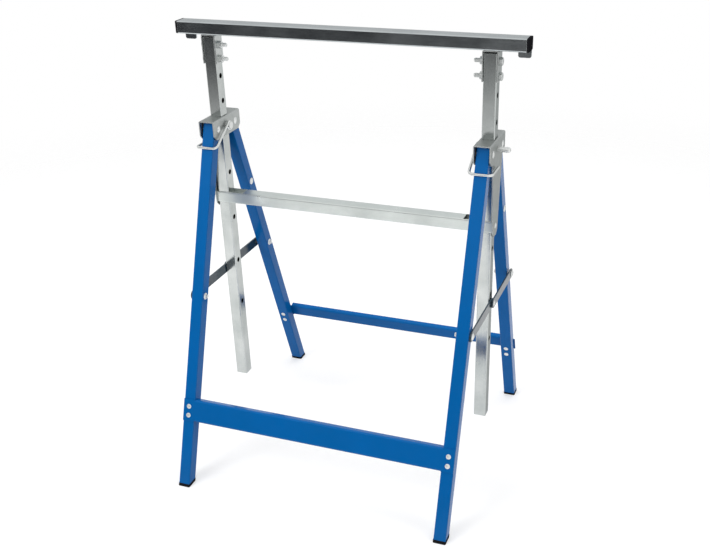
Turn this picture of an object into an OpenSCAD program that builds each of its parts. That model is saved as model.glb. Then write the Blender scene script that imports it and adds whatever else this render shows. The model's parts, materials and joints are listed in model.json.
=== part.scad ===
// Folding builders trestle. A grey steel bar sits on two telescoping masts, and the masts slide in
// sheet-steel heads above two blue leg frames. The frames fold against the masts when the stays break
// upwards in the middle. Millimetres, +Z up, X along the bar, the front frame towards -Y, and the
// origin on the floor in the middle of the four feet.

/* [Top bar] */
// Length of the top bar over its end caps
bar_length = 700; // [690:5:780]
// Depth of the top bar, front to back
bar_depth = 32; // [30:1:36]
// Height of the top bar
bar_height = 24; // [22:1:30]

/* [Masts] */
// Distance between the mast centres
mast_spacing = 565; // [500:5:570]
// Outside width of the square mast and leg tubes
tube_size = 25; // [24:0.5:26]
// Wall thickness of the tubes
tube_wall = 1.2; // [1:0.1:2]
// Length of a mast
mast_length = 758; // [700:1:760]
// Hole that the lock pin sits in, counted from the top: it sets the working height
pin_hole = 3; // [1:1:7]

/* [Leg frames] */
// Height of the leg pivots and lock pins above the floor
pivot_height = 700; // [680:5:720]
// Distance of a leg pivot from the mast centre, front and back
pivot_offset = 35; // [35:0.5:38]
// Lean of a leg frame from upright, in degrees
lean = 19.8; // [18:0.1:21]
// Width of the front brace
front_brace_width = 47; // [44:1:60]
// Width of the rear brace
rear_brace_width = 32; // [30:1:40]
// Height of the middle of both braces above the floor, on the middle line of a leg
brace_middle = 153.5; // [150:0.5:200]

/* [Stays] */
// Distance from a leg pivot down the leg to its stay bolt
stay_drop = 339; // [320:1:345]
// Width of a stay link
stay_width = 20; // [18:1:22]
// Thickness of a stay link
stay_thick = 3; // [2:0.5:4]

/* [Lock pins] */
// Diameter of a lock pin
pin_diameter = 10; // [8:0.5:10]
// Diameter of the spring wire on a lock pin
wire_diameter = 4.5; // [4:0.5:5]

/* [Hidden] */
$fn = 48;

// Clearances
running_gap = 0.08;
face_gap = 0.4;
slide_gap = 0.5;
insert_gap = 0.2;

// Tubes and sheet
tube_half = tube_size / 2;
tube_corner = 2;
sheet = 2;
fold_bend = 3;
mast_x = mast_spacing / 2;

// Head: a folded channel with room for the legs, and a tongue down its outer side
strap_wall = 1.5;
head_inside = tube_half + slide_gap + strap_wall;
head_outside = head_inside + sheet;
head_half_length = 55;
head_top = pivot_height + 20;
head_bottom = pivot_height - 19;
head_corner = 9;
mast_window = tube_size + 2 * slide_gap;
tongue_bottom = pivot_height - 173;
tongue_root_half = 36;
tongue_foot_half = 17;
tongue_tip_half = 9;
tongue_tip_rise = 8;

// Stretcher between the heads
stretcher_depth = tube_size + 2 * slide_gap + 2 * strap_wall;
stretcher_height = 24;
stretcher_z = pivot_height - 152;
stretcher_corner = 3;
strap_start = mast_x - 44;
stretcher_end = mast_x + head_inside;

// Masts and what they carry
hole_first = 76;
hole_step = 50;
hole_count = 7;
fine_holes = 3;
function hole_drop(i) = hole_first + hole_step * (i < fine_holes ? i : 2 * i - fine_holes + 1);
mast_top = pivot_height + hole_drop(pin_hole - 1);
pin_hole_r = pin_diameter / 2 + face_gap;
saddle_clear = 3.5;
saddle_inside = tube_half + slide_gap;
saddle_outside = saddle_inside + sheet;
saddle_drop = 56;
saddle_depth = 28;
saddle_bolt_drops = [20.5, 47.5];
bar_bottom = mast_top + saddle_clear + sheet;
bar_middle = bar_bottom + bar_height / 2;
bar_corner = 2.5;
cap_thick = 3;
cap_insert = 18;

// End stops on the back of the bar
stop_x = bar_length / 2 - 12.5;
stop_width = 24;
stop_thick = 3;
stop_corner = 4;
stop_reach = bar_height / 2 + 16;
stop_heel = 9;
stop_y = bar_depth / 2 + face_gap;

// Fasteners
bolt_r = 4;
bolt_hole_r = bolt_r + running_gap;
hex_r = 7.5;
hex_height = 5.3;
nut_height = 6.5;
thread_end = 11;
thread_round = 1.5;
hex_bevel = 1;
crown_rim = 0.6;
pivot_head_r = 7;
pivot_head_height = 2.5;
rivet_r = 3;
rivet_hole_r = rivet_r + running_gap;
rivet_head_r = 6;
rivet_head_height = 2.4;
brace_rivet_half = 9.5;
brace_rivet_drop = 1.5;
brace_rivet_head_r = 5;
brace_rivet_head_height = 2.2;
rivet_tail_r = 5;
rivet_tail_height = 2;

// Leg frames
leg_above_pivot = 11.5;
leg_reach = pivot_height / cos(lean) + tube_size;
leg_rivet_drop = 160;
leg_rivet_head_r = 7.25;
leg_rivet_head_height = 3;
foot_pad = 4;
foot_insert = 24;
brace_sheet = 1.5;
brace_bend = 4;
front_lip = 18;
rear_lip = 11;
brace_drop = (pivot_height - brace_middle) / cos(lean);
brace_lip_half = mast_x - tube_half - slide_gap;
front_brace_half = mast_x + tube_half;
rear_brace_half = front_brace_half + 2.5;

// Stays: the front links lie on the legs and the rear links lie over the front ones
stay_x = mast_x + tube_half + 0.6;
rear_stay_x = stay_x + stay_thick + 0.6;
stay_bolt_y = pivot_offset + stay_drop * sin(lean);
stay_bolt_z = pivot_height - stay_drop * cos(lean);
stay_head_r = 7.5;
stay_head_height = 3.5;
stay_nut_r = 7;
stay_nut_height = 4;

// Lock pin, measured outwards from the mast centre along the pin
pin_r = pin_diameter / 2;
pin_tip = 40.5;
pin_tip_cone = 3;
pin_tip_step = 2;
pin_collar_r = 8.5;
pin_collar_height = 2.6;
pin_end_r = 7.5;
pin_end_height = 2;

// Lock wire, measured from the pin's axis
wire_r = wire_diameter / 2;
wire_gap = 0.1;
wire_inner_arm = -(head_outside + face_gap + pin_collar_height + wire_gap + wire_r);
wire_outer_arm = head_outside + pivot_head_height + face_gap + wire_r;
pin_head_end = wire_inner_arm - wire_r - wire_gap - pin_end_height;
wire_drop = 31;
wire_leg_gap = 0.6;
wire_front = pivot_offset + wire_drop * tan(lean) + tube_half / cos(lean) + wire_r + wire_leg_gap;
wire_bend = 8;
wire_eye_r = pin_r + wire_gap + wire_r;
wire_eye_steps = 10;
wire_eye_step = 30;
wire_tail = -12;
wire_sides = 8;

// Finishes
blue_paint = [0.03, 0.27, 0.58];
bright_zinc = [0.78, 0.8, 0.78];
dull_zinc = [0.68, 0.71, 0.68];
grey_steel = [0.5, 0.52, 0.53];
black_plastic = [0.06, 0.06, 0.07];

// Shared shapes. Everything is drawn for the right side and for the front, then mirrored.

module left() {
    mirror([1, 0, 0]) children();
}

module rear() {
    mirror([0, 1, 0]) children();
}

module both_sides() {
    children();
    left() children();
}

// A rectangle with round corners, centred on the origin
module round_rectangle(width, height, corner) {
    square([width - 2 * corner, height], center = true);
    square([width, height - 2 * corner], center = true);
    for (x = [-1, 1], y = [-1, 1]) {
        translate([x * (width / 2 - corner), y * (height / 2 - corner)]) circle(corner);
    }
}

// The cross-section of a rectangular tube
module tube_section(width, height, corner, wall) {
    difference() {
        round_rectangle(width, height, corner);
        round_rectangle(width - 2 * wall, height - 2 * wall, max(corner - wall, 0.6));
    }
}

// The section of a sheet that is folded down on both sides, with the top of the fold at the origin
module fold_section(outside, inside, drop) {
    intersection() {
        translate([0, -drop]) difference() {
            round_rectangle(2 * outside, 2 * drop, fold_bend);
            translate([0, -sheet]) round_rectangle(2 * inside, 2 * drop, fold_bend - sheet);
        }
        translate([-outside, -drop]) square([2 * outside, drop]);
    }
}

// Lays a flat shape in the YZ plane and lets it run along +X
module along_x(start, length) {
    translate([start, 0, 0]) rotate([90, 0, 90]) linear_extrude(length) children();
}

// A rod along +X
module rod(start, length, radius) {
    translate([start, 0, 0]) rotate([0, 90, 0]) cylinder(h = length, r = radius);
}

// A six-sided head or nut along +X, with the corners of its outer face turned off
module hexagon(start, length) {
    translate([start, 0, 0]) rotate([0, 90, 0]) intersection() {
        cylinder(h = length, r = hex_r, $fn = 6);
        rotate_extrude() polygon([
            [0, 0],
            [hex_r + 1, 0],
            [hex_r + 1, length - hex_bevel],
            [hex_r - hex_bevel, length],
            [0, length]
        ]);
    }
}

// A low round head with its flat side at the start and its crown towards +X
module crown(start, radius, height) {
    rise = height - crown_rim;
    ball = (radius * radius + rise * rise) / (2 * rise);
    translate([start, 0, 0]) rotate([0, 90, 0]) rotate_extrude() intersection() {
        translate([0, height - ball]) circle(ball);
        square([radius, height]);
    }
}

// Turns a fastener along +X to point backwards
module to_back() {
    rotate([0, 0, 90]) children();
}

// Turns a fastener along +X to point forwards
module to_front() {
    rotate([0, 0, -90]) children();
}

// Takes a shape drawn about a leg pivot, with the leg straight down, onto the leaning front frame
module on_frame() {
    translate([0, -pivot_offset, pivot_height]) rotate([-lean, 0, 0]) children();
}

// A wide block between two heights above the floor
module slab(bottom, top) {
    translate([-bar_length, -bar_length, bottom]) cube([2 * bar_length, 2 * bar_length, top - bottom]);
}

// Top bar, caps and stops

module top_bar() {
    color(grey_steel) difference() {
        translate([0, 0, bar_middle]) along_x(cap_thick - bar_length / 2, bar_length - 2 * cap_thick)
            tube_section(bar_depth, bar_height, bar_corner, tube_wall);
        both_sides() translate([stop_x, 0, bar_middle]) to_back() rod(0, bar_depth, rivet_hole_r);
    }
}

module bar_cap() {
    trim = 2 * (tube_wall + insert_gap);
    translate([bar_length / 2, 0, bar_middle]) {
        along_x(-cap_thick, cap_thick) round_rectangle(bar_depth, bar_height, bar_corner);
        along_x(-cap_thick - cap_insert, cap_insert)
            round_rectangle(bar_depth - trim, bar_height - trim, 1);
    }
}

module bar_cap_left() {
    color(black_plastic) left() bar_cap();
}

module bar_cap_right() {
    color(black_plastic) bar_cap();
}

// The stop hangs down behind the bar, and turned over it stands above the bar's end
module end_stop() {
    translate([stop_x, stop_y, bar_middle]) rotate([-90, 0, 0]) linear_extrude(stop_thick) difference() {
        translate([0, (stop_reach - stop_heel) / 2])
            round_rectangle(stop_width, stop_reach + stop_heel, stop_corner);
        circle(rivet_hole_r);
    }
}

module end_stop_left() {
    color(grey_steel) left() end_stop();
}

module end_stop_right() {
    color(grey_steel) end_stop();
}

module end_stop_rivets() {
    inner_end = bar_depth / 2 - tube_wall;
    head_start = stop_y + stop_thick + face_gap;
    color(bright_zinc) both_sides() translate([stop_x, 0, bar_middle]) to_back() {
        rod(inner_end, head_start - inner_end, rivet_r);
        crown(head_start, rivet_head_r, rivet_head_height);
    }
}

// Saddles that carry the bar on the masts

module at_saddle_bolts() {
    for (drop = saddle_bolt_drops) {
        translate([mast_x, 0, bar_bottom - drop]) children();
    }
}

module saddle() {
    difference() {
        translate([mast_x, saddle_depth / 2, bar_bottom]) rotate([90, 0, 0]) linear_extrude(saddle_depth)
            fold_section(saddle_outside, saddle_inside, saddle_drop);
        at_saddle_bolts() rod(-tube_size, 2 * tube_size, bolt_hole_r);
    }
}

module saddle_left() {
    color(dull_zinc) left() saddle();
}

module saddle_right() {
    color(dull_zinc) saddle();
}

module saddle_bolts() {
    shank = 2 * saddle_outside + nut_height + thread_end - thread_round;
    color(bright_zinc) both_sides() at_saddle_bolts() {
        hexagon(saddle_outside, hex_height);
        rod(saddle_outside - shank, shank, bolt_r);
        left() crown(shank - saddle_outside, bolt_r, thread_round);
    }
}

module saddle_nuts() {
    color(bright_zinc) both_sides() at_saddle_bolts() difference() {
        left() hexagon(saddle_outside, nut_height);
        rod(-2 * tube_size, 2 * tube_size, bolt_hole_r);
    }
}

module mast() {
    difference() {
        translate([mast_x, 0, mast_top - mast_length]) linear_extrude(mast_length)
            tube_section(tube_size, tube_size, tube_corner, tube_wall);
        for (i = [0 : hole_count - 1]) {
            translate([mast_x, 0, mast_top - hole_drop(i)]) rod(-tube_size, 2 * tube_size, pin_hole_r);
        }
        at_saddle_bolts() rod(-tube_size, 2 * tube_size, bolt_hole_r);
    }
}

module mast_left() {
    color(bright_zinc) left() mast();
}

module mast_right() {
    color(bright_zinc) mast();
}

// Heads

module at_leg_pivots() {
    for (side = [-1, 1]) {
        translate([mast_x, side * pivot_offset, pivot_height]) children();
    }
}

// The head seen from the side: a plate with its lower corners cut
module cheek_outline() {
    polygon([
        [-head_half_length, head_top],
        [head_half_length, head_top],
        [head_half_length, head_bottom + head_corner],
        [head_half_length - head_corner, head_bottom],
        [head_corner - head_half_length, head_bottom],
        [-head_half_length, head_bottom + head_corner]
    ]);
}

// The outer cheek runs on down to the stretcher
module tongue_outline() {
    polygon([
        [-tongue_root_half, head_bottom + 1],
        [tongue_root_half, head_bottom + 1],
        [tongue_foot_half, tongue_bottom + tongue_tip_rise],
        [tongue_tip_half, tongue_bottom],
        [-tongue_tip_half, tongue_bottom],
        [-tongue_foot_half, tongue_bottom + tongue_tip_rise]
    ]);
}

// The folded channel, open underneath and at both ends
module head_channel() {
    translate([0, head_half_length, head_top]) rotate([90, 0, 0]) linear_extrude(2 * head_half_length)
        fold_section(head_outside, head_inside, head_top - head_bottom);
}

module head() {
    difference() {
        translate([mast_x, 0, 0]) union() {
            intersection() {
                head_channel();
                along_x(-head_outside, 2 * head_outside) cheek_outline();
            }
            along_x(head_inside, sheet) tongue_outline();
        }
        translate([mast_x, 0, head_top]) cube([mast_window, mast_window, 4 * sheet], center = true);
        translate([mast_x, 0, pivot_height]) rod(-tube_size, 2 * tube_size, pin_hole_r);
        at_leg_pivots() rod(-tube_size, 2 * tube_size, bolt_hole_r);
        translate([mast_x, 0, stretcher_z]) rod(0, tube_size, rivet_hole_r);
    }
}

module head_left() {
    color(dull_zinc) left() head();
}

module head_right() {
    color(dull_zinc) head();
}

module leg_pivot_rivets() {
    color(bright_zinc) both_sides() at_leg_pivots() {
        rod(-head_outside, 2 * head_outside, bolt_r);
        both_sides() crown(head_outside, pivot_head_r, pivot_head_height);
    }
}

// A tube whose front and back walls run on past the masts and close beyond them
module stretcher() {
    inner_depth = stretcher_depth - 2 * strap_wall;
    inner_height = stretcher_height - 2 * strap_wall;
    inner_end = stretcher_end - strap_wall;
    mouth = inner_end - strap_start;
    color(dull_zinc) translate([0, 0, stretcher_z]) difference() {
        along_x(-stretcher_end, 2 * stretcher_end)
            round_rectangle(stretcher_depth, stretcher_height, stretcher_corner);
        along_x(-inner_end, 2 * inner_end)
            round_rectangle(inner_depth, inner_height, stretcher_corner - strap_wall);
        both_sides() translate([strap_start, -inner_depth / 2, -stretcher_height])
            cube([mouth, inner_depth, 2 * stretcher_height]);
        both_sides() rod(inner_end - 1, strap_wall + 2, rivet_hole_r);
    }
}

module stretcher_rivets() {
    color(bright_zinc) both_sides() translate([mast_x, 0, stretcher_z]) {
        rod(head_inside - strap_wall, strap_wall + sheet, rivet_r);
        crown(head_outside, rivet_head_r, rivet_head_height);
    }
}

// Lock pins and their wires

module lock_pin() {
    translate([mast_x, 0, pivot_height]) {
        rod(pin_head_end, pin_tip - pin_tip_cone - pin_head_end, pin_r);
        translate([pin_tip - pin_tip_cone, 0, 0]) rotate([0, 90, 0])
            cylinder(h = pin_tip_cone, r1 = pin_r, r2 = pin_r - pin_tip_step);
        rod(-head_outside - face_gap - pin_collar_height, pin_collar_height, pin_collar_r);
        rod(pin_head_end, pin_end_height, pin_end_r);
    }
}

module lock_pin_left() {
    color(bright_zinc) left() lock_pin();
}

module lock_pin_right() {
    color(bright_zinc) lock_pin();
}

// A quarter bend at a corner between two square directions
function quarter_bend(corner, from, to, radius) = [
    for (turn = [0 : 18 : 90])
        corner - radius * (1 - sin(turn)) * from + radius * (1 - cos(turn)) * to
];

// A point on the wire's eye round the pin
function eye_point(turn) = [wire_inner_arm, wire_eye_r * cos(turn), wire_eye_r * sin(turn)];

// The middle line of the wire: an eye round the pin, down to the front of the leg, across it and back
function wire_line() = let(
    corner = [-wire_front, -wire_drop],
    touch = atan2(corner[1], corner[0]) + 360 - acos(wire_eye_r / norm(corner)),
    arm_start = wire_eye_r * [cos(touch), sin(touch)],
    arm = unit(corner - arm_start),
    inner_corner = [wire_inner_arm, corner[0], corner[1]],
    outer_corner = [wire_outer_arm, corner[0], corner[1]],
    eye = [for (i = [wire_eye_steps : -1 : 0]) eye_point(touch - i * wire_eye_step)],
    inner_bend = quarter_bend(inner_corner, [0, arm[0], arm[1]], [1, 0, 0], wire_bend),
    outer_bend = quarter_bend(outer_corner, [1, 0, 0], [0, 1, 0], wire_bend),
    free_end = [[wire_outer_arm, wire_tail, corner[1]]]
) concat(eye, inner_bend, outer_bend, free_end);

function unit(v) = v / norm(v);

// The direction of a line at one of its points
function heading(line, i) = unit(line[min(i + 1, len(line) - 1)] - line[max(i - 1, 0)]);

// One ring of points round a line
function ring(line, i, radius) = let(
    ahead = heading(line, i),
    side = unit(cross(ahead, [1, 0, 1])),
    other = cross(ahead, side)
) [
    for (k = [0 : wire_sides - 1])
        let(turn = 360 * k / wire_sides)
            line[i] + radius * (cos(turn) * side + sin(turn) * other)
];

// A round wire along a line of points
module swept_wire(line, radius) {
    rings = len(line);
    points = [for (i = [0 : rings - 1]) each ring(line, i, radius)];
    walls = [
        for (i = [0 : rings - 2], k = [0 : wire_sides - 1])
            let(a = i * wire_sides + k, b = i * wire_sides + (k + 1) % wire_sides)
                each [[a, b + wire_sides, b], [a, a + wire_sides, b + wire_sides]]
    ];
    first_end = [for (k = [0 : wire_sides - 1]) k];
    last_end = [for (k = [wire_sides - 1 : -1 : 0]) (rings - 1) * wire_sides + k];
    polyhedron(points, concat(walls, [first_end], [last_end]));
}

module lock_wire() {
    translate([mast_x, 0, pivot_height]) swept_wire(wire_line(), wire_r);
}

module lock_wire_left() {
    color(bright_zinc) left() lock_wire();
}

module lock_wire_right() {
    color(bright_zinc) lock_wire();
}

// Leg frames

module at_brace_rivets() {
    for (side = [-1, 1]) {
        translate([mast_x, 0, side * brace_rivet_half - brace_rivet_drop - brace_drop]) children();
    }
}

// A leg with its holes; children are further holes, drawn about the pivot
module leg() {
    intersection() {
        on_frame() difference() {
            translate([mast_x, 0, -leg_reach]) linear_extrude(leg_reach + leg_above_pivot)
                tube_section(tube_size, tube_size, tube_corner, tube_wall);
            for (drop = [0, stay_drop]) {
                translate([mast_x, 0, -drop]) rod(-tube_size, 2 * tube_size, bolt_hole_r);
            }
            at_brace_rivets() to_front() rod(-tube_size, 2 * tube_size, rivet_hole_r);
            children();
        }
        slab(foot_pad, bar_length + pivot_height);
    }
}

// A plug cut level with the floor, with an insert up inside the leg
module foot() {
    insert_size = tube_size - 2 * (tube_wall + insert_gap);
    intersection() {
        on_frame() translate([mast_x, 0, -leg_reach]) linear_extrude(leg_reach)
            round_rectangle(tube_size, tube_size, tube_corner);
        slab(0, foot_pad);
    }
    intersection() {
        on_frame() translate([mast_x, 0, -leg_reach]) linear_extrude(leg_reach)
            round_rectangle(insert_size, insert_size, 1);
        slab(0, foot_pad + foot_insert);
    }
}

// The section of a brace: a shallow channel with its web on the origin and its lips towards +X
module brace_section(width, lip) {
    reach = 2 * lip;
    inner_width = width - 2 * brace_sheet;
    intersection() {
        translate([lip, 0]) difference() {
            round_rectangle(reach, width, brace_bend);
            translate([brace_sheet, 0]) round_rectangle(reach, inner_width, brace_bend - brace_sheet);
        }
        translate([0, -width]) square([lip, 2 * width]);
    }
}

// The child is the section of a brace. Its lips stop between the legs, and the web runs on over the
// outer face of each leg.
module brace(width, half_length) {
    on_frame() difference() {
        translate([0, -tube_half, -brace_drop]) {
            along_x(-brace_lip_half, 2 * brace_lip_half) children();
            both_sides() translate([brace_lip_half, -brace_sheet, -width / 2])
                cube([half_length - brace_lip_half, brace_sheet, width]);
        }
        both_sides() at_brace_rivets() to_front() rod(0, tube_size, rivet_hole_r);
    }
}

// Rivets right through the leg, with a smaller closing head on its inner face
module brace_rivets() {
    head_start = tube_half + brace_sheet;
    on_frame() both_sides() at_brace_rivets() to_front() {
        rod(-tube_half, tube_half + head_start, rivet_r);
        crown(head_start, brace_rivet_head_r, brace_rivet_head_height);
        left() crown(tube_half, rivet_tail_r, rivet_tail_height);
    }
}

// A bolt through the leg, with the end of a stay link under its round head
module stay_bolts(head_start) {
    inner_end = mast_x - tube_half - stay_nut_height - 1;
    both_sides() translate([0, -stay_bolt_y, stay_bolt_z]) {
        rod(inner_end, head_start - inner_end, bolt_r);
        crown(head_start, stay_head_r, stay_head_height);
    }
}

module stay_nuts() {
    both_sides() translate([mast_x - tube_half, -stay_bolt_y, stay_bolt_z]) difference() {
        left() crown(0, stay_nut_r, stay_nut_height);
        rod(-tube_half, tube_size, bolt_hole_r);
    }
}

module front_leg_left() {
    color(blue_paint) left() leg();
}

module front_leg_right() {
    color(blue_paint) leg();
}

module front_foot_left() {
    color(black_plastic) left() foot();
}

module front_foot_right() {
    color(black_plastic) foot();
}

// The front brace's lips point back to the masts
module front_brace() {
    color(blue_paint) brace(front_brace_width, front_brace_half)
        translate([-brace_sheet, 0]) brace_section(front_brace_width, front_lip);
}

module front_brace_rivets() {
    color(bright_zinc) brace_rivets();
}

module front_stay_bolts() {
    color(bright_zinc) stay_bolts(stay_x + stay_thick + face_gap);
}

module front_stay_nuts() {
    color(bright_zinc) stay_nuts();
}

module rear_leg() {
    rear() leg()
        translate([mast_x, 0, -leg_rivet_drop]) rod(-tube_size, 2 * tube_size, rivet_hole_r);
}

module rear_leg_left() {
    color(blue_paint) left() rear_leg();
}

module rear_leg_right() {
    color(blue_paint) rear_leg();
}

// One more rivet across each rear leg, level with the stretcher
module rear_leg_rivets() {
    color(bright_zinc) rear() on_frame() both_sides() translate([mast_x, 0, -leg_rivet_drop]) {
        rod(-tube_half, tube_size, rivet_r);
        both_sides() crown(tube_half, leg_rivet_head_r, leg_rivet_head_height);
    }
}

module rear_foot_left() {
    color(black_plastic) left() rear() foot();
}

module rear_foot_right() {
    color(black_plastic) rear() foot();
}

// The rear brace's lips point away from the masts, and its ends stand out past the legs
module rear_brace() {
    color(blue_paint) rear() brace(rear_brace_width, rear_brace_half)
        mirror([1, 0]) brace_section(rear_brace_width, rear_lip);
}

module rear_brace_rivets() {
    color(bright_zinc) rear() brace_rivets();
}

module rear_stay_bolts() {
    color(bright_zinc) rear() stay_bolts(rear_stay_x + stay_thick + face_gap);
}

module rear_stay_nuts() {
    color(bright_zinc) rear() stay_nuts();
}

// The rear links lie further out, so their bolts carry a spacer against the leg
module rear_stay_spacers() {
    spacer = rear_stay_x - mast_x - tube_half - face_gap;
    color(bright_zinc) both_sides() translate([mast_x + tube_half, stay_bolt_y, stay_bolt_z])
        difference() {
            rod(0, spacer, stay_head_r);
            rod(-1, spacer + 2, bolt_hole_r);
        }
}

// Stays

// A flat link from a stay bolt to the middle of the trestle
module stay_link() {
    along_x(0, stay_thick) difference() {
        union() {
            translate([-stay_bolt_y, -stay_width / 2]) square([stay_bolt_y, stay_width]);
            circle(stay_width / 2);
            translate([-stay_bolt_y, 0]) circle(stay_width / 2);
        }
        circle(rivet_hole_r);
        translate([-stay_bolt_y, 0]) circle(bolt_hole_r);
    }
}

module front_stay() {
    translate([stay_x, 0, stay_bolt_z]) stay_link();
}

module front_stay_left() {
    color(blue_paint) left() front_stay();
}

module front_stay_right() {
    color(blue_paint) front_stay();
}

module rear_stay() {
    translate([rear_stay_x, 0, stay_bolt_z]) rear() stay_link();
}

module rear_stay_left() {
    color(blue_paint) left() rear_stay();
}

module rear_stay_right() {
    color(blue_paint) rear_stay();
}

// The middle rivet, set in the rear link and flush on its inner face
module stay_rivet() {
    translate([rear_stay_x, 0, stay_bolt_z]) {
        rod(0, stay_thick, rivet_r);
        crown(stay_thick, rivet_head_r, rivet_head_height);
    }
}

module stay_rivet_left() {
    color(bright_zinc) left() stay_rivet();
}

module stay_rivet_right() {
    color(bright_zinc) stay_rivet();
}

top_bar();
bar_cap_left();
bar_cap_right();
end_stop_left();
end_stop_right();
end_stop_rivets();
saddle_left();
saddle_right();
saddle_bolts();
saddle_nuts();
mast_left();
mast_right();
head_left();
head_right();
leg_pivot_rivets();
stretcher();
stretcher_rivets();
lock_pin_left();
lock_pin_right();
lock_wire_left();
lock_wire_right();
front_leg_left();
front_leg_right();
front_foot_left();
front_foot_right();
front_brace();
front_brace_rivets();
front_stay_bolts();
front_stay_nuts();
rear_leg_left();
rear_leg_right();
rear_foot_left();
rear_foot_right();
rear_brace();
rear_brace_rivets();
rear_stay_bolts();
rear_stay_nuts();
rear_stay_spacers();
rear_leg_rivets();
front_stay_left();
front_stay_right();
rear_stay_left();
rear_stay_right();
stay_rivet_left();
stay_rivet_right();
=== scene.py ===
# %% [markdown]
# # A folding builders trestle
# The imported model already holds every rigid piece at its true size, so this lesson dresses it: a camera
# where the photographer stood, a pale studio, a finish for each metal, paint and plastic, and finely made
# wires, bolts, caps and feet in place of the plain solids. All lengths are in metres, and the trestle
# stands on the floor at z = 0.

import json
import math

import bmesh
import bpy
from mathutils import Matrix, Vector


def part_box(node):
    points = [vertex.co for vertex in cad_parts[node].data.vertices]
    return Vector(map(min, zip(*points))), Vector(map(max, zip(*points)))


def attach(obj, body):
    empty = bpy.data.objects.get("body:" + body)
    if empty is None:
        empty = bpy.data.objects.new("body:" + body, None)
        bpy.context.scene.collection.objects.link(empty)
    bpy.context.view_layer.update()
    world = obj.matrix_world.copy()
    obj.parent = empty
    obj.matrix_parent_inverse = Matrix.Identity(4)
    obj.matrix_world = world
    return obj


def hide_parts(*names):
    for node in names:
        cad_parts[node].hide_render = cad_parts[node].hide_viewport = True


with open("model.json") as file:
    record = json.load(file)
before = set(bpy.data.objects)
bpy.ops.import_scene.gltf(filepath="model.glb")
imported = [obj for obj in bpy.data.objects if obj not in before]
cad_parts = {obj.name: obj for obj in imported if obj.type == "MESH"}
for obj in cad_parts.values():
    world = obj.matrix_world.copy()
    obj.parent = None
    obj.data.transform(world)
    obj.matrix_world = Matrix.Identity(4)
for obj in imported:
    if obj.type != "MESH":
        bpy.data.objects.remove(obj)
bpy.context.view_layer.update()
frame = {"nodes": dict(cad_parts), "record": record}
scene = bpy.context.scene
scene.view_settings.view_transform = "Standard"
MM = 0.001

# %% [markdown]
# ## Camera
# A camera in Blender looks along its own -Z with +Y up. Three plain turns set it: yaw round the world's Z,
# pitch about the camera's X, and a slight roll, because the picture isn't quite level. The lens is written
# in millimetres on a 36 mm sensor, and the small shift puts the trestle where the picture's crop puts it.

# %% Camera
CAMERA_PLACE = Vector((0.7096, -1.7100, 1.2613))
CAMERA_YAW = math.radians(21.094)
CAMERA_PITCH = math.radians(27.710)
CAMERA_ROLL = math.radians(1.477)
SENSOR_WIDTH = 36.0
CAMERA_LENS = 49.39
CAMERA_SHIFT = (-0.0309, 0.0585)
TRESTLE_MIDDLE = Vector((0, 0, 0.45))

camera_data = bpy.data.cameras.new("camera")
camera_data.sensor_fit = "HORIZONTAL"
camera_data.sensor_width = SENSOR_WIDTH
camera_data.lens = CAMERA_LENS
camera_data.shift_x, camera_data.shift_y = CAMERA_SHIFT
camera = bpy.data.objects.new("camera", camera_data)
scene.collection.objects.link(camera)
camera.matrix_world = (
    Matrix.Translation(CAMERA_PLACE)
    @ Matrix.Rotation(CAMERA_YAW, 4, "Z")
    @ Matrix.Rotation(math.pi / 2 - CAMERA_PITCH, 4, "X")
    @ Matrix.Rotation(-CAMERA_ROLL, 4, "Z")
)
scene.camera = camera
print("camera stands", round((CAMERA_PLACE - TRESTLE_MIDDLE).length, 2), "m from the middle")

# %% [markdown]
# ## Small helpers for shader nodes
# A material is a little network. These helpers make a node, fill or join its sockets by name and hand back
# its outcome, so that each finish further down reads as a recipe and not as a list of clicks.


# %% Node helpers
def fill_socket(tree, socket, value):
    """Sets a socket to a value, or joins it to the socket of another node."""
    if isinstance(value, bpy.types.NodeSocket):
        tree.links.new(value, socket)
    else:
        socket.default_value = value


def fill_sockets(tree, node, **inputs):
    """Fills a node's sockets by name, with _ for a space."""
    for name, value in inputs.items():
        fill_socket(tree, node.inputs[name.replace("_", " ")], value)


def add_node(tree, kind, options=None, **inputs):
    """Adds a shader node with these options and these sockets filled."""
    node = tree.nodes.new(kind)
    for name, value in (options or {}).items():
        setattr(node, name, value)
    fill_sockets(tree, node, **inputs)
    return node


def work_out(tree, operation, first, second=0.0):
    """The outcome of a Math node."""
    node = add_node(tree, "ShaderNodeMath", {"operation": operation})
    fill_socket(tree, node.inputs[0], first)
    fill_socket(tree, node.inputs[1], second)
    return node.outputs[0]


def map_range(tree, value, start, end, low, high, course="LINEAR"):
    """Carries start to low and end to high, in a straight line or with a soft step."""
    node = add_node(
        tree, "ShaderNodeMapRange", {"interpolation_type": course},
        Value=value, From_Min=start, From_Max=end, To_Min=low, To_Max=high)
    return node.outputs[0]


def fade_out(tree, value, full, gone):
    """One up to the first place, nought from the second on, with a soft step between."""
    return map_range(tree, value, full, gone, 1.0, 0.0, "SMOOTHSTEP")


def seen_directly(tree):
    """One for camera rays and for the rays that metal and glass send on, nought for soft light."""
    path = add_node(tree, "ShaderNodeLightPath").outputs
    mirrored = work_out(tree, "MAXIMUM", path["Is Glossy Ray"], path["Is Transmission Ray"])
    return work_out(tree, "MAXIMUM", path["Is Camera Ray"], mirrored)


print("node helpers ready")

# %% [markdown]
# ## White room
# The picture has a plain white ground. The world is white wherever the camera or a reflection sees it, and
# gives a softer, even light otherwise, so that the background doesn't flood the object.

# %% World
SKY_LIGHT = 0.60
WHITE = (1, 1, 1, 1)

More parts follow.
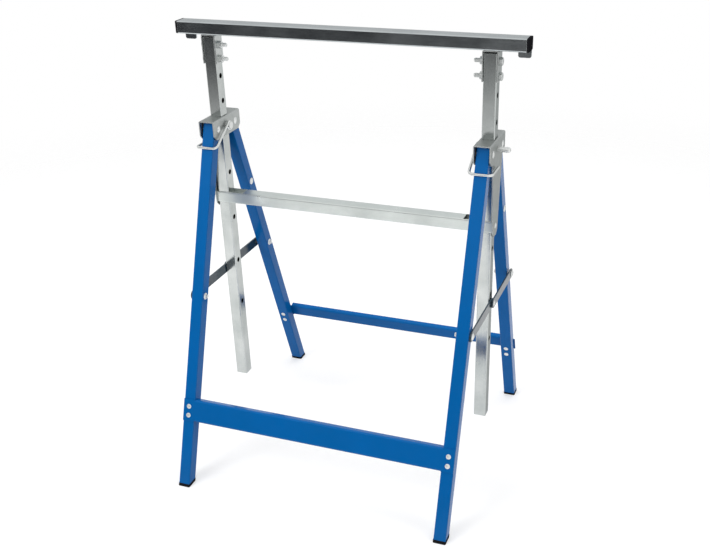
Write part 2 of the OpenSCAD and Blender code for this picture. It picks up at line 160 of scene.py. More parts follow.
world = bpy.data.worlds.new("white room")
scene.world = world
world.use_nodes = True
sky_tree = world.node_tree
sky_tree.nodes.clear()
sky_strength = map_range(sky_tree, seen_directly(sky_tree), 0.0, 1.0, SKY_LIGHT, 1.0)
sky = add_node(sky_tree, "ShaderNodeBackground", None, Color=WHITE, Strength=sky_strength)
add_node(sky_tree, "ShaderNodeOutputWorld", None, Surface=sky.outputs[0])
print("sky light:", SKY_LIGHT)

# %% [markdown]
# ## Floor
# The floor is a pale card that takes the trestle's shadow. A faint glow of its own, seen only directly,
# lifts it to white without putting more light on the object, and its rim fades out so that no horizon
# shows.

# %% Floor
FLOOR_SHADE = (0.62, 0.62, 0.62, 1)
FLOOR_ROUGHNESS = 0.9
FLOOR_SPECULAR = 0.1
FLOOR_GLOW = 0.43
FLOOR_REACH = 4.0
FLOOR_FADE = (1.5, 3.0)


def new_material(name):
    material = bpy.data.materials.new(name)
    material.use_nodes = True
    return material, material.node_tree, material.node_tree.nodes["Principled BSDF"]


def mesh_object(name, mesh):
    piece = bpy.data.objects.new(name, mesh)
    scene.collection.objects.link(piece)
    return piece


def flat_sheet(name, corners):
    mesh = bpy.data.meshes.new(name)
    mesh.from_pydata(corners, [], [range(len(corners))])
    return mesh_object(name, mesh)


floor = flat_sheet("floor", [
    (-FLOOR_REACH, -FLOOR_REACH, 0), (FLOOR_REACH, -FLOOR_REACH, 0),
    (FLOOR_REACH, FLOOR_REACH, 0), (-FLOOR_REACH, FLOOR_REACH, 0),
])
floor_card, floor_tree, floor_shader = new_material("pale floor card")
floor_place = add_node(floor_tree, "ShaderNodeTexCoord").outputs["Object"]
floor_distance = add_node(floor_tree, "ShaderNodeVectorMath", {"operation": "LENGTH"}, Vector=floor_place)
fill_sockets(
    floor_tree, floor_shader,
    Base_Color=FLOOR_SHADE,
    Roughness=FLOOR_ROUGHNESS,
    Specular_IOR_Level=FLOOR_SPECULAR,
    Emission_Color=WHITE,
    Emission_Strength=work_out(floor_tree, "MULTIPLY", seen_directly(floor_tree), FLOOR_GLOW),
    Alpha=fade_out(floor_tree, floor_distance.outputs["Value"], *FLOOR_FADE),
)
floor.data.materials.append(floor_card)
print("floor:", 2 * FLOOR_REACH, "m across")

# %% [markdown]
# ## Cards for the metal to mirror
# Bright metal has hardly any colour of its own: it shows the room. A photographer puts cards round such an
# object, out of the picture, and so does this scene. Each card is black with an even glow, so that its
# shade doesn't hang on the lamps. It is hidden from the camera, from soft light and from shadows, so only
# reflections see it.

# %% Cards for reflections
BLACK = (0, 0, 0, 1)


def for_reflections_only(card, shade):
    """Gives a card an even shade and hides it from all but mirror-like surfaces."""
    card.visible_camera = False
    card.visible_diffuse = False
    card.visible_shadow = False
    cloth, tree, shader = new_material(card.name + "_cloth")
    fill_sockets(
        tree, shader, Base_Color=BLACK, Specular_IOR_Level=0.0, Emission_Color=shade, Emission_Strength=1.0)
    card.data.materials.append(cloth)
    return tree, shader


print("card helper ready")

# %% [markdown]
# ## Dark screen
# In the picture the bar and the upper left mast are dark, the right mast is lighter and the lower masts are
# pale, because faces that stand low mirror the white floor nearby and those that stand high mirror the dark
# studio further off, most of all to the left. A dark curved screen, turned a little so that it comes
# nearest on the left, gives the same bands. It fades out at its sides and its top, so that the metal stays
# pale from other sides.

# %% Dark screen
SCREEN_NEAR, SCREEN_FULL, SCREEN_FAR = 1.7, 3.8, 5.2
SCREEN_LIFT = 4 * MM
SCREEN_TOP = 2.4
SCREEN_HALF = 4.0
SCREEN_BEND_RADIUS = 1.84
SCREEN_BEND_STEPS = 12
SCREEN_TURN = math.radians(-26.6)
SCREEN_SHADE = (0.042, 0.044, 0.048, 1)
SCREEN_HEIGHT_FADE = (1.3, 2.3)
SCREEN_SIDE_FADE = (2.6, 4.0)


def screen_profile():
    """The screen's line from its front edge, along the floor and up, as (y, z) pairs."""
    yield -SCREEN_NEAR, SCREEN_LIFT
    for step in range(SCREEN_BEND_STEPS + 1):
        turn = math.pi / 2 * step / SCREEN_BEND_STEPS
        back = SCREEN_BEND_RADIUS * (1 - math.sin(turn))
        yield back - SCREEN_FAR, SCREEN_LIFT + SCREEN_BEND_RADIUS * (1 - math.cos(turn))
    yield -SCREEN_FAR, SCREEN_TOP


profile = list(screen_profile())
screen_corners = [(side * SCREEN_HALF, y, z) for y, z in profile for side in (-1, 1)]
screen_faces = [(2 * i, 2 * i + 1, 2 * i + 3, 2 * i + 2) for i in range(len(profile) - 1)]
screen_mesh = bpy.data.meshes.new("dark_screen")
screen_mesh.from_pydata(screen_corners, [], screen_faces)
screen = mesh_object("dark_screen", screen_mesh)
screen.rotation_euler.z = SCREEN_TURN
screen_tree, screen_shader = for_reflections_only(screen, SCREEN_SHADE)
screen_place = add_node(screen_tree, "ShaderNodeTexCoord").outputs["Object"]
screen_axes = add_node(screen_tree, "ShaderNodeSeparateXYZ", None, Vector=screen_place).outputs
sideways = work_out(screen_tree, "ABSOLUTE", screen_axes["X"])
screen_cover = work_out(
    screen_tree, "MULTIPLY",
    fade_out(screen_tree, screen_axes["Y"], -SCREEN_FULL, -SCREEN_NEAR),
    fade_out(screen_tree, screen_axes["Z"], *SCREEN_HEIGHT_FADE))
screen_cover = work_out(
    screen_tree, "MULTIPLY", screen_cover, fade_out(screen_tree, sideways, *SCREEN_SIDE_FADE))
fill_sockets(screen_tree, screen_shader, Alpha=screen_cover)
print("screen starts", SCREEN_NEAR, "m in front")

# %% [markdown]
# ## A card for the upper faces
# The tops of the bar and the heads are seen at a low angle, so they mirror what stands behind the trestle.
# A pale grey card there takes them just off white, again for reflections alone.

# %% Grey card
CARD_PLACE = 2.8
CARD_HALF = 4.5
CARD_BOTTOM, CARD_TOP = 0.25, 3.4
CARD_SHADE = (0.92, 0.93, 0.94, 1)

grey_card = flat_sheet("grey_card", [
    (-CARD_HALF, CARD_PLACE, CARD_BOTTOM), (CARD_HALF, CARD_PLACE, CARD_BOTTOM),
    (CARD_HALF, CARD_PLACE, CARD_TOP), (-CARD_HALF, CARD_PLACE, CARD_TOP),
])
for_reflections_only(grey_card, CARD_SHADE)
print("grey card stands", CARD_PLACE, "m behind")

# %% [markdown]
# ## Soft lamps
# Three large area lamps act as softboxes: the main one high on the front left, so that front faces are
# brighter than the legs' right sides, a weaker one on the right that keeps those sides from going black,
# and one above for the upper faces. Reflections don't see them, because the screen, the card and the white
# room do that work.

# %% Lamps
SOFTBOXES = [
    {"name": "front_left_softbox", "place": (-1.6, -2.6, 2.6), "size": (1.6, 1.6), "watts": 54},
    {"name": "right_softbox", "place": (2.8, -0.6, 2.2), "size": (1.2, 1.6), "watts": 14},
    {"name": "top_softbox", "place": (0.0, 0.6, 3.2), "size": (2.4, 2.0), "watts": 36},
]

for softbox in SOFTBOXES:
    lamp_data = bpy.data.lights.new(softbox["name"], "AREA")
    lamp_data.shape = "RECTANGLE"
    lamp_data.size, lamp_data.size_y = softbox["size"]
    lamp_data.energy = softbox["watts"]
    lamp = bpy.data.objects.new(softbox["name"], lamp_data)
    scene.collection.objects.link(lamp)
    lamp.location = softbox["place"]
    lamp.rotation_euler = (TRESTLE_MIDDLE - lamp.location).to_track_quat("-Z", "Y").to_euler()
    lamp.visible_glossy = False
print("lamps:", [softbox["name"] for softbox in SOFTBOXES])

# %% [markdown]
# ## Coordinates and grain
# Every node's place is in its mesh, so "Object" coordinates are metres in the trestle's own frame.
# Stretching them before a noise turns dots into lines: the drawing marks that run along a tube. The Bevel
# node rounds the normal near an edge, and where that leaves the true normal there is an edge to roughen or
# to paint a highlight on.

# %% Texture helpers
BEVEL_SAMPLES = 4
EDGE_AGREEMENT = (0.72, 0.985)


def object_place(tree, stretch=(1, 1, 1)):
    place = add_node(tree, "ShaderNodeTexCoord").outputs["Object"]
    return add_node(tree, "ShaderNodeMapping", None, Vector=place, Scale=stretch).outputs[0]


def noise(tree, place, scale, detail=3.0, roughness=0.55):
    """A cloudy pattern with about this many patches to the metre."""
    node = add_node(
        tree, "ShaderNodeTexNoise", None, Vector=place, Scale=scale, Detail=detail, Roughness=roughness)
    return node.outputs["Fac"]


def spread(tree, value, low, high, start=0.3, end=0.7):
    """Maps the useful middle of a noise onto a range."""
    return map_range(tree, value, start, end, low, high)


def share(tree, mask, most):
    """Scales a mask of nought to one down to this most."""
    return spread(tree, mask, 0.0, most, 0.0, 1.0)


def blend_colours(tree, factor, first, second):
    node = add_node(tree, "ShaderNodeMix", {"data_type": "RGBA"}, Factor=factor)
    colour_a, colour_b = [socket for socket in node.inputs if socket.type == "RGBA"]
    fill_socket(tree, colour_a, first)
    fill_socket(tree, colour_b, second)
    return next(socket for socket in node.outputs if socket.type == "RGBA")


def soft_edges(tree, radius):
    """A normal that rounds every sharp edge a little, as deburring and plating do."""
    return add_node(tree, "ShaderNodeBevel", {"samples": BEVEL_SAMPLES}, Radius=radius).outputs[0]


def edge_mask(tree, radius):
    """Near one along sharp edges: where the rounded normal leaves the true one."""
    agreement = add_node(tree, "ShaderNodeVectorMath", {"operation": "DOT_PRODUCT"})
    fill_socket(tree, agreement.inputs[0], soft_edges(tree, radius))
    fill_socket(tree, agreement.inputs[1], add_node(tree, "ShaderNodeNewGeometry").outputs["Normal"])
    return spread(tree, agreement.outputs["Value"], 1.0, 0.0, *EDGE_AGREEMENT)


def bump(tree, height, depth, strength, normal):
    """Raises a pattern by this depth on top of another normal."""
    node = add_node(
        tree, "ShaderNodeBump", None, Height=height, Distance=depth, Strength=strength, Normal=normal)
    return node.outputs[0]


print("texture helpers ready")

# %% [markdown]
# ## Blue powder coat
# The leg frames are powder coated: a thick film with a fine orange-peel skin, a shade thinner along the
# tube corners, where a paler tone is painted on as a highlight. The colour varies only slightly and the
# film hardly shines, so a low specular level and the skin do most of the work. The flat links of the stays
# have the same coat over a darker ground.

# %% Blue powder coat
FILM_CLOUDS, FILM_HAZE = 9, 60
FILM_ROUGHNESS = (0.13, 0.22)
FILM_ROUND = 0.5 * MM
CORNER_HIGHLIGHT_WIDTH, CORNER_HIGHLIGHT_SHARE = 1.2 * MM, 0.35
PEEL_SCALE, PEEL_DEPTH, PEEL_STRENGTH = 700, 0.04 * MM, 0.30
RIPPLE_SCALE, RIPPLE_DEPTH, RIPPLE_STRENGTH = 38, 0.20 * MM, 0.15


def powder_coat(name, deep, light, corner, specular):
    """A film between two tones, with a painted highlight tone along the corners."""
    material, tree, shader = new_material(name)
    place = object_place(tree)
    clouds = spread(tree, noise(tree, place, FILM_CLOUDS, 4), 0.0, 1.0)
    film = blend_colours(tree, clouds, light, deep)
    # Painted highlight: the corners are blended towards the paler corner colour.
    film = blend_colours(tree, share(tree, edge_mask(tree, CORNER_HIGHLIGHT_WIDTH), CORNER_HIGHLIGHT_SHARE), film, corner)
    peel = noise(tree, place, PEEL_SCALE, 2, 0.5)
    skin = bump(tree, peel, PEEL_DEPTH, PEEL_STRENGTH, soft_edges(tree, FILM_ROUND))
    ripple = noise(tree, place, RIPPLE_SCALE, 2, 0.5)
    fill_sockets(
        tree, shader,
        Base_Color=film,
        Roughness=spread(tree, noise(tree, place, FILM_HAZE), *FILM_ROUGHNESS),
        Specular_IOR_Level=specular,
        Normal=bump(tree, ripple, RIPPLE_DEPTH, RIPPLE_STRENGTH, skin),
    )
    return material


# Each corner colour is a highlight painted along the tube corners.
blue_paint = powder_coat(
    "blue_powder_coat", deep=(0.0013, 0.110, 0.355, 1), light=(0.0013, 0.121, 0.400, 1),
    corner=(0.012, 0.17, 0.46, 1), specular=0.11)
stay_paint = powder_coat(
    "stay_powder_coat", deep=(0.020, 0.040, 0.058, 1), light=(0.027, 0.052, 0.074, 1),
    corner=(0.07, 0.11, 0.14, 1), specular=0.45)
print("blue coats made")

# %% [markdown]
# ## Zinc, galvanised sheet and bare steel
# All the bright metal shares one recipe: fully metallic, with drawing lines along the piece, slow clouds of
# dull and bright plating, and rougher edges with a pale painted highlight. Only the colour, the polish and
# the direction of the lines change, so one function makes every metal. Galvanised sheet adds its crystal
# spangle.

# %% Recipe for metal
GRAZING_TINT = (0.40, 0.41, 0.41, 1)
# Pale steel colour painted along the edges as a highlight.
EDGE_HIGHLIGHT_STEEL = (0.88, 0.90, 0.90, 1)
EDGE_HIGHLIGHT_AND_HAZE_WIDTH = 0.7 * MM
EDGE_HAZE, LINE_HAZE = 0.35, 0.04
PLATING_CLOUDS, SPANGLES = 16, 110
LINE_SHARE, LINE_DEPTH, LINE_STRENGTH = 0.35, 0.02 * MM, 0.10
DENT_SCALE, DENT_DEPTH, DENT_STRENGTH = 24, 0.3 * MM, 0.10
METAL_ROUND = 0.4 * MM


def plated_steel(name, bright, dull, polish, grain, spangle=0.0, edge_highlight=0.8, grazing=GRAZING_TINT):
    """Metal between two tones, with its roughness between the two values of polish."""
    material, tree, shader = new_material(name)
    place = object_place(tree)
    lines = noise(tree, object_place(tree, grain), 1.0, 3, 0.6)
    clouds = noise(tree, place, PLATING_CLOUDS, 5, 0.6)
    tone = blend_colours(tree, spread(tree, clouds, 0.0, 1.0), bright, dull)
    tone = blend_colours(tree, spread(tree, lines, 0.0, LINE_SHARE), tone, dull)
    if spangle:
        crystals = add_node(tree, "ShaderNodeTexVoronoi", None, Vector=place, Scale=SPANGLES)
        shade = add_node(tree, "ShaderNodeRGBToBW", None, Color=crystals.outputs["Color"]).outputs[0]
        tone = blend_colours(tree, spread(tree, shade, 0.0, spangle, 0.1, 0.9), tone, dull)
    # Painted highlight: the edges are blended towards a pale steel colour, and the same edge mask makes
    # them rougher.
    highlight_and_haze_edges = edge_mask(tree, EDGE_HIGHLIGHT_AND_HAZE_WIDTH)
    haze = work_out(tree, "ADD", spread(tree, clouds, *polish), spread(tree, lines, 0.0, LINE_HAZE))
    skin = bump(tree, lines, LINE_DEPTH, LINE_STRENGTH, soft_edges(tree, METAL_ROUND))
    dents = noise(tree, place, DENT_SCALE, 2, 0.5)
    fill_sockets(
        tree, shader,
        Base_Color=blend_colours(tree, share(tree, highlight_and_haze_edges, edge_highlight), tone, EDGE_HIGHLIGHT_STEEL),
        Metallic=1.0,
        Specular_Tint=grazing,
        Roughness=work_out(tree, "ADD", haze, share(tree, highlight_and_haze_edges, EDGE_HAZE)),
        Normal=bump(tree, dents, DENT_DEPTH, DENT_STRENGTH, skin),
    )
    return material


print("metal recipe ready")

# %% [markdown]
# ## The metals of this trestle
# The lines run up the masts and along the bar and the stretcher, and the folded sheet has none. The bar and
# the stretcher are seen along their upper faces, where metal turns into a mirror, so they keep more of that
# glare.

# %% Metals
FINE, SLOW = 900, 14
ALONG_X = (SLOW, FINE, FINE)
ALONG_Z = (FINE, FINE, SLOW)
NO_LINES = (260, 260, 260)
BAR_GRAZING_TINT = (0.66, 0.67, 0.67, 1)

mast_zinc = plated_steel(
    "mast_zinc", bright=(0.64, 0.66, 0.65, 1), dull=(0.49, 0.52, 0.51, 1),
    polish=(0.11, 0.20), grain=ALONG_Z, edge_highlight=0.2)
stretcher_zinc = plated_steel(
    "stretcher_zinc", bright=(0.75, 0.79, 0.77, 1), dull=(0.63, 0.67, 0.65, 1),
    polish=(0.24, 0.38), grain=ALONG_X, spangle=0.4, grazing=BAR_GRAZING_TINT)
folded_zinc = plated_steel(
    "folded_zinc", bright=(0.56, 0.58, 0.57, 1), dull=(0.43, 0.45, 0.44, 1),
    polish=(0.34, 0.48), grain=NO_LINES, spangle=0.6)
saddle_zinc = plated_steel(
    "saddle_zinc", bright=(0.68, 0.70, 0.69, 1), dull=(0.52, 0.54, 0.53, 1),
    polish=(0.22, 0.36), grain=NO_LINES, spangle=0.6)
bar_steel = plated_steel(
    "bar_steel", bright=(0.56, 0.59, 0.60, 1), dull=(0.45, 0.48, 0.49, 1),
    polish=(0.10, 0.20), grain=ALONG_X, grazing=BAR_GRAZING_TINT)
fastener_zinc = plated_steel(
    "fastener_zinc", bright=(0.84, 0.85, 0.84, 1), dull=(0.68, 0.70, 0.69, 1),
    polish=(0.30, 0.44), grain=NO_LINES)
wire_zinc = plated_steel(
    "wire_zinc", bright=(0.80, 0.81, 0.80, 1), dull=(0.66, 0.68, 0.67, 1),
    polish=(0.12, 0.24), grain=NO_LINES)
print("metals made")

# %% [markdown]
# ## Black plastic
# The end caps and feet are moulded plastic: nearly black, matt, with a fine grain from the mould and scuffs
# that turn it a little grey where it rubs on the floor.

# %% Black plastic
PLASTIC_BLACK = (0.012, 0.012, 0.014, 1)
PLASTIC_SCUFFED = (0.05, 0.05, 0.052, 1)
SCUFF_SCALE, SCUFF_SHARE, SCUFF_START, SCUFF_END = 140, 0.6, 0.55, 0.85
PLASTIC_HAZE, PLASTIC_ROUGHNESS = 220, (0.55, 0.75)
MOULD_SCALE, MOULD_DEPTH, MOULD_STRENGTH = 1600, 0.05 * MM, 0.4
PLASTIC_ROUND = 0.6 * MM

black_plastic, plastic_tree, plastic_shader = new_material("black_moulded_plastic")
plastic_place = object_place(plastic_tree)
scuffs = spread(
    plastic_tree, noise(plastic_tree, plastic_place, SCUFF_SCALE, 5, 0.7),
    0.0, SCUFF_SHARE, SCUFF_START, SCUFF_END)
mould_grain = noise(plastic_tree, plastic_place, MOULD_SCALE, 2)
fill_sockets(
    plastic_tree, plastic_shader,
    Base_Color=blend_colours(plastic_tree, scuffs, PLASTIC_BLACK, PLASTIC_SCUFFED),
    Roughness=spread(plastic_tree, noise(plastic_tree, plastic_place, PLASTIC_HAZE), *PLASTIC_ROUGHNESS),
    Specular_IOR_Level=0.0,
    Normal=bump(
        plastic_tree, mould_grain, MOULD_DEPTH, MOULD_STRENGTH, soft_edges(plastic_tree, PLASTIC_ROUND)),
)
print("plastic made")

# %% [markdown]
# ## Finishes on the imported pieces
# The record says which slot each node takes its finish from. The stretcher, the saddles and the stays'
# links share a slot with pieces that look different, so a node's own name may choose a closer finish.

# %% Assign finishes
slot_finish = {
    "blue_paint": blue_paint,
    "bright_zinc": mast_zinc,
    "galvanised": folded_zinc,
    "grey_steel": bar_steel,
    "fastener": fastener_zinc,
    "spring_wire": wire_zinc,
    "black_plastic": black_plastic,
}
node_finish = {"stretcher": stretcher_zinc, "saddle_left": saddle_zinc, "saddle_right": saddle_zinc}
for link in ("front_stay_left", "front_stay_right", "rear_stay_left", "rear_stay_right"):
    node_finish[link] = stay_paint
for row in frame["record"]["subparts"]:
    node = frame["nodes"][row["node"]]
    finish = node_finish.get(row["node"], slot_finish[row["material_slot"]])
    for slot in node.material_slots:
        slot.material = finish

# %% [markdown]
# ## Lock wires
# Each lock pin carries a spring wire: an eye round the pin, an arm down the inner side of the front leg, a
# run across the leg's front and a free end along its outer side. A curve with a round bevel makes a smooth
# wire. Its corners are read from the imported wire's box, so it lies where the solid lies. It is a little
# thicker than the solid, and grows away from the leg.

# %% Lock wires
PACKED_WIRE_RADIUS = 2.25 * MM
WIRE_RADIUS = 2.7 * MM
WIRE_TAIL = -12 * MM
WIRE_BEND = 8 * MM
WIRE_GAP = 0.1 * MM
WIRE_ROUNDNESS = 5
PIN_RADIUS = 5 * MM
BEND_STEPS = 8
EYE_STEPS = 30
EYE_TURN = math.radians(300)


def quarter_bend(corner, arriving, leaving, radius):
    """Points round a corner, from one direction to another at right angles to it."""
    for step in range(BEND_STEPS + 1):
        turn = math.pi / 2 * step / BEND_STEPS
        back = radius * (1 - math.sin(turn))
        on = radius * (1 - math.cos(turn))
        yield corner - back * arriving + on * leaving


def lock_wire_line(side):
    """The middle line of a lock wire, from its eye to its free end."""
    low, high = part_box("lock_wire_" + side)
    pin_low, pin_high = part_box("lock_pin_" + side)
    pin = (pin_low + pin_high) / 2
    outwards = 1 if side == "right" else -1
    inside = 2 * PACKED_WIRE_RADIUS - WIRE_RADIUS
    near, far = low.x + inside, high.x - inside
    inner_x, outer_x = (near, far) if side == "right" else (far, near)
    front, bottom = low.y + inside, low.z + PACKED_WIRE_RADIUS
    eye_radius = PIN_RADIUS + WIRE_GAP + WIRE_RADIUS
    reach = Vector((front - pin.y, bottom - pin.z))
    touch = math.atan2(reach.y, reach.x) + 2 * math.pi - math.acos(eye_radius / reach.length)
    for step in range(EYE_STEPS + 1):
        turn = touch - EYE_TURN * (1 - step / EYE_STEPS)
        start = Vector((inner_x, pin.y + eye_radius * math.cos(turn), pin.z + eye_radius * math.sin(turn)))
        yield start
    inner_corner = Vector((inner_x, front, bottom))
    outer_corner = Vector((outer_x, front, bottom))
    across = Vector((outwards, 0, 0))
    yield from quarter_bend(inner_corner, (inner_corner - start).normalized(), across, WIRE_BEND)
    yield from quarter_bend(outer_corner, across, Vector((0, 1, 0)), WIRE_BEND)
    yield Vector((outer_x, WIRE_TAIL, bottom))


for side in ("left", "right"):
    line = list(lock_wire_line(side))
    curve = bpy.data.curves.new("spring_wire_" + side, "CURVE")
    curve.dimensions = "3D"
    curve.bevel_depth = WIRE_RADIUS
    curve.bevel_resolution = WIRE_ROUNDNESS
    curve.use_fill_caps = True
    spline = curve.splines.new("POLY")
    spline.points.add(len(line) - 1)
    for point, place in zip(spline.points, line):
        point.co = (*place, 1)
    wire = mesh_object("spring_wire_" + side, curve)
    curve.materials.append(wire_zinc)
    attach(wire, "lock_" + side)
    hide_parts("lock_wire_" + side)
    print(wire.name, "has", len(line), "points")

# %% [markdown]
# ## Skins through rings
# Bolts, caps and feet are all skins: rings of points, one behind the other, joined by faces and closed at
# both ends. A modifier could round a box, but rings say exactly where each edge lies, so the piece keeps
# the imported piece's place and size.

# %% Ring skin
SHARP_ANGLE = math.radians(32)


def add_skin(form, rings):
    """Joins rings of equal length into one closed skin inside a bmesh."""
    rows = [[form.verts.new(point) for point in ring] for ring in rings]
    faces = []
    for row, following in zip(rows, rows[1:]):
        for i in range(len(row)):
            j = (i + 1) % len(row)
            faces.append(form.faces.new((row[i], row[j], following[j], following[i])))
    faces.append(form.faces.new(rows[0]))
    faces.append(form.faces.new(rows[-1]))
    bmesh.ops.recalc_face_normals(form, faces=faces)


def skin_object(name, form, finish, body, replaced):
    """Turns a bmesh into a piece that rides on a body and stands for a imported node."""
    mesh = bpy.data.meshes.new(name)
    form.to_mesh(mesh)
    form.free()
    mesh.shade_smooth()
    mesh.set_sharp_from_angle(angle=SHARP_ANGLE)
    mesh.materials.append(finish)
    piece = mesh_object(name, mesh)
    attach(piece, body)
    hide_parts(replaced)
    print(name, "has", len(mesh.vertices), "points")


print("skin helpers ready")

# %% [markdown]
# ## A bolt's thread and head
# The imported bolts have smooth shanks. A thread could be cut with the Screw modifier, but a formula is
# shorter: on each ring the radius follows the thread's saw-tooth, and the tooth moves on by one pitch for
# each turn. The head is a six-sided outline on the same rings.

# %% Bolt outlines
BOLT_RADIUS, BOLT_CORE = 4 * MM, 3.4 * MM
THREAD_PITCH = 1.25 * MM
THREAD_CREST, THREAD_ROOT = 0.125, 0.25
HEAD_CORNER = 7.5 * MM
HEAD_FLAT = HEAD_CORNER * math.cos(math.pi / 6)


def hexagon_radius(turn):
    """Distance to a six-sided outline whose corners point up and down."""
    return HEAD_FLAT / math.cos((turn - math.pi / 6) % (math.pi / 3) - math.pi / 6)


def thread_radius(out, turn):
    """Radius of a right-handed thread at a place along the bolt and round it."""
    from_crest = abs((out / THREAD_PITCH - turn / (2 * math.pi)) % 1 - 0.5) * 2
    rise = (1 - from_crest - THREAD_ROOT) / (1 - THREAD_ROOT - THREAD_CREST)
    return BOLT_CORE + (BOLT_RADIUS - BOLT_CORE) * min(max(rise, 0), 1)


print("bolt head is", round(2 * HEAD_FLAT / MM, 1), "mm across its flats")

# %% [markdown]
# ## Saddle bolts
# Two M8 bolts hold each saddle to its mast, with the head outside and a nut inside. Each is one skin from
# the head's face to the rounded end: the head's corners are turned off as on a bought bolt, the shank is
# plain inside the mast, and the end beyond the nut is threaded. All four are one piece, as in the packed
# model.

# %% Saddle bolts
BOLT_SEGMENTS = 48
BOLT_END, BOLT_ROUND, BOLT_TIP = -31 * MM, 1.5 * MM, 3.0 * MM
THREAD_START, THREAD_RINGS = -18 * MM, 8
HEAD_SEAT, HEAD_HEIGHT = 15 * MM, 5.3 * MM
HEAD_FACE = HEAD_FLAT * 0.97
HEAD_SLOPE = math.tan(math.radians(30))
MAST_X = 282.5 * MM
SADDLE_BOLT_HEIGHTS = (861 * MM, 834 * MM)
TURNS = [2 * math.pi * i / BOLT_SEGMENTS for i in range(BOLT_SEGMENTS)]


def saddle_bolt_rings():
    """Rings from the head's face to the bolt's end, as (out, turn, radius) rows."""
    top = HEAD_SEAT + HEAD_HEIGHT
    yield [(top, turn, min(hexagon_radius(turn), HEAD_FACE)) for turn in TURNS]
    yield [
        (top - (hexagon_radius(turn) - HEAD_FACE) * HEAD_SLOPE, turn, hexagon_radius(turn))
        for turn in TURNS
    ]
    yield [(HEAD_SEAT, turn, hexagon_radius(turn)) for turn in TURNS]
    for out in (HEAD_SEAT, THREAD_START + THREAD_PITCH):
        yield [(out, turn, BOLT_RADIUS) for turn in TURNS]
    step = THREAD_PITCH / THREAD_RINGS
    for i in range(round((THREAD_START - BOLT_END) / step) + 1):
        out = THREAD_START - i * step
        yield [(out, turn, thread_radius(out, turn)) for turn in TURNS]
    yield [(BOLT_END - BOLT_ROUND, turn, BOLT_TIP) for turn in TURNS]


bolts = bmesh.new()
for side in (-1, 1):
    for height in SADDLE_BOLT_HEIGHTS:
        add_skin(bolts, [
            [
                (side * (MAST_X + out), side * radius * math.cos(turn), height + radius * math.sin(turn))
                for out, turn, radius in ring
            ]
            for ring in saddle_bolt_rings()
        ])
skin_object("threaded_saddle_bolts", bolts, fastener_zinc, "main_frame", "saddle_bolts")

# %% [markdown]
# ## Bar caps
# A moulded cap closes each end of the bar: a rim as large as the tube, rounded over outside and slightly
# domed, with an insert that grips inside. It is one skin through rounded rectangles, from the insert's end
# to the dome.

# %% Bar caps
BAR_HALF_DEPTH, BAR_HALF_HEIGHT = 16 * MM, 12 * MM
BAR_MIDDLE, BAR_END = 893.5 * MM, 350 * MM
CAP_CORNER, LEAST_CORNER, CORNER_STEPS = 2.5 * MM, 0.6 * MM, 6
CAP_ROUND, CAP_ROUND_STEPS = 1.1 * MM, 5
CAP_PROUD = 1.5 * MM
CAP_RIM, CAP_INSERT_END, CAP_INSERT_INSET = -3 * MM, -21 * MM, 1.4 * MM
CAP_DOME = ((0.25 * MM, 4 * MM), (0.35 * MM, 8 * MM))
TAPER_LENGTH, TAPER_STEP = 1.5 * MM, 0.6 * MM


def rounded_rectangle(half_wide, half_high, corner):
    """Points round a rectangle with rounded corners, as (across, up) pairs."""
    corner = max(corner, LEAST_CORNER)
    for quarter, (right, upper) in enumerate(((1, 1), (-1, 1), (-1, -1), (1, -1))):
        for step in range(CORNER_STEPS + 1):
            turn = math.pi / 2 * (quarter + step / CORNER_STEPS)
            across = right * (half_wide - corner) + corner * math.cos(turn)
            yield across, upper * (half_high - corner) + corner * math.sin(turn)


def bar_outline(inset):
    """The bar's outline, drawn in by this much, as (y, z) pairs."""
    return rounded_rectangle(BAR_HALF_DEPTH - inset, BAR_HALF_HEIGHT - inset, CAP_CORNER - inset)


def bar_cap_line():
    """The cap's section from the insert's end to the dome, as (out, inset) pairs."""
    yield CAP_INSERT_END, CAP_INSERT_INSET + TAPER_STEP
    yield CAP_INSERT_END + TAPER_LENGTH, CAP_INSERT_INSET
    yield CAP_RIM, CAP_INSERT_INSET
    yield CAP_RIM, 0.0
    for step in range(CAP_ROUND_STEPS + 1):
        turn = math.pi / 2 * step / CAP_ROUND_STEPS
        yield CAP_PROUD + CAP_ROUND * (math.sin(turn) - 1), CAP_ROUND * (1 - math.cos(turn))
    for rise, inset in CAP_DOME:
        yield CAP_PROUD + rise, inset


for name, side in (("left", -1), ("right", 1)):
    cap = bmesh.new()
    add_skin(cap, [
        [(side * (BAR_END + out), y, BAR_MIDDLE + z) for y, z in bar_outline(inset)]
        for out, inset in bar_cap_line()
    ])
    skin_object(
        "moulded_bar_cap_" + name, cap, black_plastic, "main_frame", "bar_cap_" + name)

# %% [markdown]
# ## Feet
# Each leg ends in a moulded foot: a sole that lies flat on the floor, a low collar that stands a little
# proud round the tube, and an insert up inside it. It is the same kind of skin as the caps, but its rings
# lie level and follow the leaning leg, so each ring is a little deeper than the square tube.

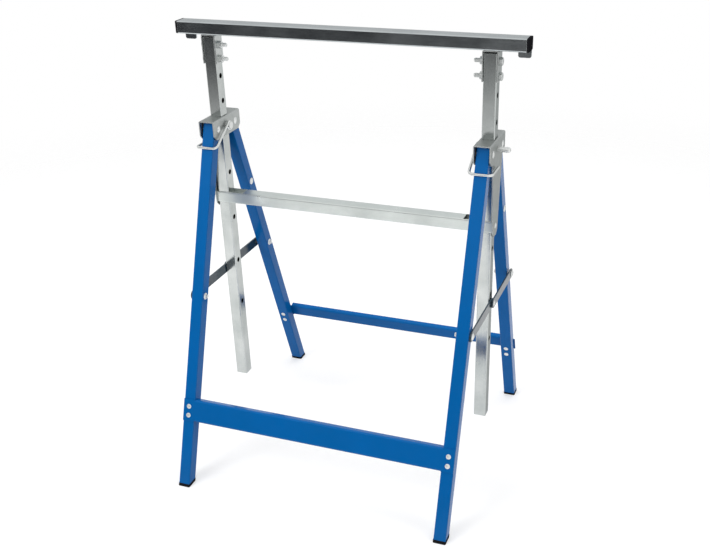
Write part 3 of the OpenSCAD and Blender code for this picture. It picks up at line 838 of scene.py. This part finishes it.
# %% Feet
TUBE_HALF, TUBE_CORNER = 12.5 * MM, 2 * MM
LEG_LEAN = math.radians(19.8)
LEG_PIVOT_OUT, LEG_PIVOT_HEIGHT = 35 * MM, 700 * MM
SOLE_SEAT = 3.9 * MM
COLLAR_HEIGHT, COLLAR_PROUD, COLLAR_GAP = 6 * MM, 0.7 * MM, 0.1 * MM
FOOT_ROUND, FOOT_ROUND_STEPS = 0.5 * MM, 4
FOOT_INSERT_TOP, FOOT_INSERT_INSET = 28 * MM, 1.5 * MM


def foot_line():
    """The foot's section from the sole to the insert's end, as (height, inset) pairs."""
    turns = [math.pi / 2 * step / FOOT_ROUND_STEPS for step in range(FOOT_ROUND_STEPS + 1)]
    for turn in turns:
        yield FOOT_ROUND * (1 - math.cos(turn)), FOOT_ROUND * (1 - math.sin(turn)) - COLLAR_PROUD
    for turn in turns:
        below = FOOT_ROUND * (1 - math.sin(turn))
        yield COLLAR_HEIGHT - below, FOOT_ROUND * (1 - math.cos(turn)) - COLLAR_PROUD
    yield COLLAR_HEIGHT, -COLLAR_GAP
    yield SOLE_SEAT, -COLLAR_GAP
    yield SOLE_SEAT, FOOT_INSERT_INSET
    yield FOOT_INSERT_TOP - TAPER_LENGTH, FOOT_INSERT_INSET
    yield FOOT_INSERT_TOP, FOOT_INSERT_INSET + TAPER_STEP


def foot_ring(height, inset, side, end):
    """A level ring round the leaning leg; side is left or right, end is front or rear."""
    middle = LEG_PIVOT_OUT + (LEG_PIVOT_HEIGHT - height) * math.tan(LEG_LEAN)
    half = TUBE_HALF - inset
    for x, y in rounded_rectangle(half, half / math.cos(LEG_LEAN), TUBE_CORNER - inset):
        yield side * MAST_X + x, end * middle + y, height


for end_name, end in (("front", -1), ("rear", 1)):
    for side_name, side in (("left", -1), ("right", 1)):
        foot = bmesh.new()
        add_skin(foot, [list(foot_ring(height, inset, side, end)) for height, inset in foot_line()])
        node_name = end_name + "_foot_" + side_name
        skin_object(
            "moulded_" + node_name, foot, black_plastic, end_name + "_frame", node_name)
